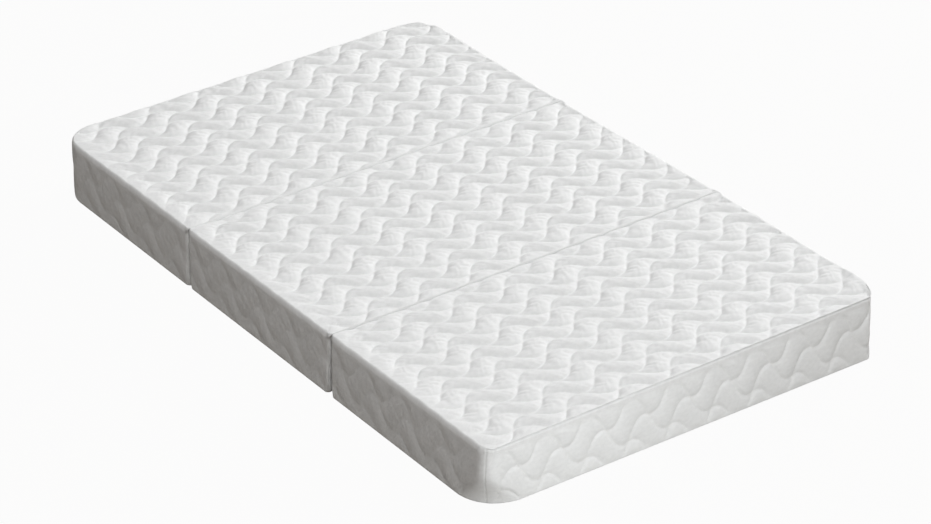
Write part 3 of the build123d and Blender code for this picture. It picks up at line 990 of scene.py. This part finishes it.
zip_tape = twill("woven_polyester_tape", "#EFEEEA", "#DAD9D4", 0.9 * MM)
zip_nylon = nylon("nylon_zip_coil", "#EDECE8", "#DEDDD8")
zip_metal = plated_zinc("nickel_plated_zinc", "#CFCDC8", "#B4B2AD")
for panel in PANELS:
    low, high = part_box(f"{panel}_zip_tapes")
    bow = np.linspace(-math.pi / 2, math.pi / 2, TAPE_EDGE_STEPS)
    radius = (high.x - low.x) / 2
    tapes = []
    for foot, head in ((low.z, low.z + TAPE_WIDTH), (high.z - TAPE_WIDTH, high.z)):
        middle_x = low.x + radius
        across = np.concatenate([middle_x + radius * np.sin(bow), middle_x - radius * np.sin(bow)])
        upright = np.concatenate([head - radius + radius * np.cos(bow), foot + radius - radius * np.cos(bow)])
        tapes += [np.stack(np.broadcast_arrays(across, y, upright), -1) for y in (low.y, high.y)]
    lower = drawn_out(f"{panel}_zip_tape_lower", tapes[:2], zip_tape)
    upper = drawn_out(f"{panel}_zip_tape_upper", tapes[2:], zip_tape)
    for tape in (lower, upper):
        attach(tape, f"{panel}_panel")
    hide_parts(f"{panel}_zip_tapes")

    low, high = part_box(f"{panel}_zip_coil")
    middle = (low + high) / 2
    loops = []
    for side in (-1, 1):
        y = np.arange(low.y + LOOP_PITCH * (0.5 if side < 0 else 1.0), high.y, LOOP_PITCH)
        line = np.stack(np.broadcast_arrays(middle.x - LOOP_SUNK, y, middle.z + side * LOOP_OFF), -1)
        loops.append((line, (1, 0, 0), side * LOOP_SLANT))
    coil = laid_in_rows(f"{panel}_zip_coil_loops", loops, LOOP_PITCH, LOOP_SIZE, zip_nylon)
    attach(coil, f"{panel}_panel")
    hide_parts(f"{panel}_zip_coil")
    for node in ("zip_stops", "zip_slider", "zip_pull"):
        refinish(f"{panel}_{node}", zip_metal)

# Underside covers
# A plain knit closes each panel below: one flat piece that is sewn to the foot of the borders and lies on the
# floor, a little slack between its seams.
UNDER_GRID = 8 * MM
UNDER_THICKNESS = 0.9 * MM
UNDER_FLOOR = 0.15 * MM
UNDER_TURN = 5 * MM
UNDER_TURN_ROWS = 5
UNDER_DRAWN = 0.6
UNDER_SLACK = 0.18 * MM
UNDER_RIPPLES = ((41, 13), (-19, 57))
UNDER_SLACK_GROWTH = 6
PLAIN_LOOP = 1.8 * MM
PLAIN_RELIEF = 0.14 * MM
underside_knit = jersey("plain_underside_knit", "#EDEEEE", "#E4E5E5", PLAIN_LOOP, PLAIN_RELIEF)


def rim_place(u, v):
    """Place round a panel's rim from 0 to 4, anticlockwise from its near left corner."""
    places = [(u + 1) / 2, 1 + (v + 1) / 2, 2 + (1 - u) / 2]
    return np.select([v == -1, u == 1, v == 1], places, 3 + (1 - v) / 2)


for panel in PANELS:
    skin = skins[panel]
    low, high = span[panel]
    u, v = np.meshgrid(*(spaced(side / 2, step=UNDER_GRID) for side in (high.x - low.x, high.y - low.y)))
    grid = np.arange(u.size).reshape(u.shape)
    border = rim(grid)
    edge_u, edge_v = u.ravel()[border], v.ravel()[border]
    known = rim_place(skin.u, skin.v)
    drawn = np.interp(rim_place(edge_u, edge_v), known, skin.foot_drawn, period=4)
    level = np.interp(rim_place(edge_u, edge_v), known, skin.foot_level, period=4)
    points, faces, edges = [], [], []
    for rise in (0, UNDER_THICKNESS):
        rows = []
        for share in np.linspace(0, 1, UNDER_TURN_ROWS):
            z = UNDER_FLOOR + (level - UNDER_FLOOR) * (1 - share) ** 2
            inset = drawn + UNDER_TURN * share + UNDER_DRAWN * rise
            x, y = spread(*plan(panel, edge_u, edge_v, inset, z), z)
            rows.append(sum(len(p) for p in points) + np.arange(len(border)))
            points.append(np.stack([x, y, z + rise], -1))
        x, y = spread(*plan(panel, u, v, GRID_INSET), UNDER_FLOOR)
        ripples = sum(np.sin(a * x + b * y) for a, b in UNDER_RIPPLES)
        slack = UNDER_SLACK * ripples * ease((1 - np.abs(u * v)) * UNDER_SLACK_GROWTH)
        first = sum(len(p) for p in points)
        points.append(np.stack([x, y, UNDER_FLOOR + np.abs(slack) + rise], -1).reshape(-1, 3))
        rows.append(first + border)
        faces += [strip(a, b) for a, b in zip(rows, rows[1:])] + [first + grid_faces(grid)]
        edges.append(rows[0])
    faces.append(strip(*edges))
    cover = piece(f"{panel}_underside", np.concatenate(points), np.concatenate(faces), underside_knit)
    close_up(cover)
    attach(cover, f"{panel}_panel")
    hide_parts(f"{panel}_bottom_cover")

# Fold hinges
# A strip of strong knit joins each pair of panels, at the top between foot and middle and at the bottom
# between middle and head. Its edges are turned in and sewn down the fold walls, and its middle runs across
# the gap, in the shape it has with the panels lying flat.
HINGE_THICKNESS = 0.9 * MM
HINGE_TUCK = 7 * MM
HINGE_TUCK_STEPS = 5
HINGE_BEND = 0.5 * MM
HINGE_BEND_STEPS = 5
HINGE_CLEAR = 0.1 * MM
HINGE_STEP = 4 * MM
HINGE_DIP = 0.12 * MM
HINGE_RIPPLES = ((90, 0), (37, 1))
hinge_knit = jersey("strong_hinge_knit", "#ECEDED", "#E2E3E3", PLAIN_LOOP, PLAIN_RELIEF)


def hinge_strip(name, near, far, outward):
    """One strip over a fold: its middle runs across the gap, and its two edges lie along the fold walls."""
    low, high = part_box(near)[0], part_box(far)[1]
    fold = (low.y + high.y) / 2
    wide = (high.y - low.y) / 2 - HINGE_CLEAR - HINGE_THICKNESS / 2
    face = high.z if outward > 0 else low.z
    turn = np.linspace(0, math.pi / 2, HINGE_BEND_STEPS)
    bend_y = wide - HINGE_BEND * (1 - np.cos(turn))
    bend_z = -HINGE_BEND * (1 - np.sin(turn))
    down = np.linspace(-HINGE_TUCK, -HINGE_BEND, HINGE_TUCK_STEPS + 1)[:-1]
    right_y = np.concatenate([np.full(len(down), wide), bend_y])
    right_z = np.concatenate([down, bend_z])
    path = np.stack([np.concatenate([-right_y, [0], right_y[::-1]]),
                     np.concatenate([right_z, [-HINGE_DIP], right_z[::-1]])], -1)
    ahead = np.gradient(path, axis=0)
    across = np.stack([-ahead[:, 1], ahead[:, 0]], -1) / np.linalg.norm(ahead, axis=1, keepdims=True)
    aside = across * HINGE_THICKNESS / 2
    section = np.concatenate([path + aside, (path - aside)[::-1]])
    sections = []
    for x in np.linspace(low.x, high.x, round((high.x - low.x) / HINGE_STEP) + 1):
        slack = HINGE_DIP * sum(math.sin(rate * x + start) for rate, start in HINGE_RIPPLES)
        z = face + outward * (section[:, 1] - HINGE_THICKNESS / 2 + min(slack, 0))
        sections.append(np.stack(np.broadcast_arrays(x, fold + section[:, 0], z), -1))
    hinge = drawn_out(name, sections, hinge_knit)
    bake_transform(hinge)
    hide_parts(near, far)


hinge_strip("top_fold_hinge", "foot_top_hinge_flange", "middle_top_hinge_flange",
            1)
hinge_strip("bottom_fold_hinge", "middle_bottom_hinge_flange", "head_bottom_hinge_flange",
            -1)

# Quilting stitches
# White polyester thread, sewn by a multi-needle machine along the waves of the tops, the ends and the fold
# walls. On the soft long sides it sinks in out of sight. The stitches are drawn thicker than real ones, so
# that they show.
STITCH_PITCH = 3.4 * MM
STITCH_SIZE = (2.7 * MM, 0.6 * MM, 0.45 * MM)
STITCH_RISE = 0.08 * MM
THREAD_TWIST = 4 * MM
FEWEST_PLACES = 8
WAVE_REACH = (-2, 9)
WAVE_SAMPLE = 0.012
WALL_SAMPLE = 0.8 * MM
SPARE_LINES = 12
SPARE_SAMPLES = 400
FREE_SIDE = 14 * MM
FREE_EDGE = 4 * MM
FREE_CORNER = 8 * MM
FREE_FOOT = 6 * MM
FREE_SEAM = 1 * MM


def thread(name, pale, deep):
    """Spun polyester thread: white and faintly silky, with the twist of its plies as slanting bands. They
    are drawn wider than real ones, so that they show."""
    finish, tree, shader = new_finish(name, roughness=0.55, specular=0.35)
    place = add(tree, "ShaderNodeTexCoord").outputs["Object"]
    plies = add(tree, "ShaderNodeTexWave", {"Vector": place, "Scale": 1 / THREAD_TWIST, "Distortion": 1.0},
                bands_direction="DIAGONAL")
    tones = {0: plies.outputs["Fac"], 6: linear(deep), 7: linear(pale)}
    colour = add(tree, "ShaderNodeMix", tones, data_type="RGBA")
    wire(tree, shader, {"Sheen Weight": 0.2, "Base Color": colour.outputs[2]})
    return finish


def wave_lines(waves):
    """Rows at which each stitch line crosses a run of places along the waves, as one line after another."""
    reach = int(np.ceil(np.abs(waves).max())) + SPARE_LINES
    for number in range(-reach, reach + 1):
        for slope in (1, -1):
            yield number + slope * waves - swung(waves)


def kept_runs(points, facings, kept):
    """The stretches of a line that are kept, as the rows of stitches take them."""
    breaks = np.flatnonzero(np.diff(np.concatenate([[0], kept.astype(int), [0]])))
    for first, last in zip(breaks[::2], breaks[1::2]):
        if last - first > FEWEST_PLACES:
            yield points[first:last] + facings[first:last] * STITCH_RISE, facings[first:last], 0.0


def on_wall(skin, number, local, level):
    """Points and normals of one wall of a skin, at places along it and levels above the floor."""
    columns = np.flatnonzero(skin.side == number)
    column = np.interp(local, skin.local[columns], np.arange(len(columns)))
    heights = skin.level[SEAM_ROW:, columns].mean(1)
    row = np.interp(-level, -heights, np.arange(len(heights)))
    a, b = np.minimum(column.astype(int), len(columns) - 2), np.minimum(row.astype(int), len(heights) - 2)
    part_a, part_b = (column - a)[:, None], (row - b)[:, None]
    rows = skin.rows[SEAM_ROW + 1:]
    found = []
    for values in (skin.points, skin.normals):
        upper = values[rows[b, columns[a]]] * (1 - part_a) + values[rows[b, columns[a + 1]]] * part_a
        lower = values[rows[b + 1, columns[a]]] * (1 - part_a) + values[rows[b + 1, columns[a + 1]]] * part_a
        found.append(upper * (1 - part_b) + lower * part_b)
    return found


sewing_thread = thread("spun_polyester_thread", "#F6F6F4", "#ECECE9")
for panel in PANELS:
    skin = skins[panel]
    low, high = span[panel]
    lines = []
    waves = np.arange(*WAVE_REACH, WAVE_SAMPLE)
    for rows in wave_lines(waves):
        flat = np.array(WAVE_START[panel]) * MM + waves[:, None] * WAVE_STEP + rows[:, None] * WAVE_ROW
        x, y = flat[:, 0], flat[:, 1]
        kept = np.minimum(x - low.x, high.x - x) > FREE_SIDE
        kept &= np.minimum(y - low.y, high.y - y) > FREE_EDGE
        if panel != "middle":
            past_x = np.maximum(np.abs(x) - high.x + END_CORNER, 0)
            past_y = np.maximum(np.abs(y) - (max(-low.y, high.y) - END_CORNER), 0)
            kept &= np.hypot(past_x, past_y) < END_CORNER - FREE_CORNER
        points = np.stack([x, y, TOP - top_sunk(panel, x, y)], -1)
        lines += kept_runs(points, np.broadcast_to((0.0, 0.0, 1.0), points.shape), kept)
    for number, kind in enumerate(WALLS[panel]):
        if kind in ("left", "right"):
            continue
        half = np.abs(skin.local[skin.side == number]).max()
        step = WALL[kind]["step"] * MM
        waves = np.arange(-half, half, WALL_SAMPLE) / step
        waves = np.concatenate([waves, waves[-1] + np.arange(1, SPARE_SAMPLES) * WAVE_SAMPLE])
        for rows in wave_lines(waves):
            local = WALL_WAVE_START[panel][number] * MM + waves * step + rows * WALL_ROW[0]
            level = WALL_WAVE_LEVEL + rows * WALL_ROW[1]
            kept = (np.abs(local) < half - FREE_SIDE) & (level > FREE_FOOT) & (level < SEAM_LEVEL - FREE_SEAM)
            points, facings = on_wall(skin, number, local, level)
            lines += kept_runs(points, facings, kept)
    stitches = laid_in_rows(f"{panel}_quilting_stitches", lines, STITCH_PITCH, STITCH_SIZE, sewing_thread)
    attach(stitches, f"{panel}_panel")

# Floor, light and camera
# A pale studio floor that keeps a soft shadow, a large lamp above the near left, a low one from the right
# that draws the relief of the quilting, and a narrow strip that reaches only the near end. The camera looks
# down on the near left corner with a long lens.
FLOOR_REACH = 30.0
FLOOR_LEVEL = -0.6 * MM
FLOOR_GLOW = 0.96
CAMERA_RIGHT = Vector((0.80409, -0.59448, 0.00529))
CAMERA_DOWN = Vector((-0.29700, -0.40939, -0.86267))
CAMERA_AHEAD = Vector((0.51500, 0.69209, -0.50574))
CAMERA_PLACE = Vector((-2.4301, -3.2951, 2.4107))


def seen_plainly(tree):
    """A node that gives 1 for the rays that show the backdrop: from the camera, in gloss, through glass."""
    rays = add(tree, "ShaderNodeLightPath").outputs
    seen = rays["Is Camera Ray"]
    for ray in ("Is Glossy Ray", "Is Transmission Ray"):
        seen = add(tree, "ShaderNodeMath", {0: seen, 1: rays[ray]}, operation="MAXIMUM")
    return seen


def softbox(name, place, aim, wide, tall, watts, tint="#FFFFFF", fan=180):
    """A soft box that shines from a place towards a point, fanning out over an angle in degrees."""
    light = bpy.data.lights.new(name, "AREA")
    light.shape = "RECTANGLE"
    light.size = wide
    light.size_y = tall
    light.energy = watts
    light.color = linear(tint)[:3]
    light.spread = math.radians(fan)
    made = placed(name, light)
    made.location = place
    made.rotation_euler = (Vector(place) - Vector(aim)).to_track_quat("Z", "Y").to_euler()
    made.visible_camera = False


# Matt paper that glows white where it is looked at, and still darkens where the mattress shades it
paper, tree, shader = new_finish("white_studio_paper", roughness=0.9)
wire(tree, shader, {"Base Color": linear("#89827A")})
share = add(tree, "ShaderNodeMath", {0: seen_plainly(tree), 1: FLOOR_GLOW}, operation="MULTIPLY")
glow = add(tree, "ShaderNodeEmission", {"Color": linear("#FFFFFF"), "Strength": 1.0})
mixed = add(tree, "ShaderNodeMixShader", {0: share, 1: shader, 2: glow})
wire(tree, tree.nodes["Material Output"], {"Surface": mixed})
floor_corners = [(-1, -1), (1, -1), (1, 1), (-1, 1)]
floor_points = [(x * FLOOR_REACH, y * FLOOR_REACH, FLOOR_LEVEL) for x, y in floor_corners]
floor = piece("studio_floor", floor_points, [(0, 1, 2, 3)], paper)

world = bpy.data.worlds.new("studio")
bpy.context.scene.world = world
world.use_nodes = True
tree = world.node_tree
white = add(tree, "ShaderNodeBackground", {"Color": linear("#FFFFFF"), "Strength": 1.0})
soft = tree.nodes["Background"]
wire(tree, soft, {"Color": linear("#FFF8F2"), "Strength": 0.08})
mixed = add(tree, "ShaderNodeMixShader", {0: seen_plainly(tree), 1: soft, 2: white})
wire(tree, tree.nodes["World Output"], {"Surface": mixed})

softbox("overhead_softbox", place=(-1.3, -2.0, 6.0), aim=(-0.1, 0, 0.05), wide=2.4, tall=3.6, watts=290)
softbox("right_softbox", place=(3.8, 0.95, 1.53), aim=(0, 0, 0.05), wide=1.2, tall=1.2, watts=120)
softbox("near_end_strip", place=(-0.2, -2.1, 0.018), aim=(-0.22, -0.48, 0.045), wide=0.2, tall=0.03,
        watts=1.9, tint="#FAFDFE", fan=70)

camera_data = bpy.data.cameras.new("camera")
camera_data.sensor_width = 36.0
camera_data.lens = 140.05
camera_data.clip_end = 100.0
camera = placed("camera", camera_data)
turn = Matrix((CAMERA_RIGHT, -CAMERA_DOWN, -CAMERA_AHEAD)).transposed().to_4x4()
camera.matrix_world = Matrix.Translation(CAMERA_PLACE) @ turn
bpy.context.scene.camera = camera
bpy.context.scene.view_settings.view_transform = "Standard"
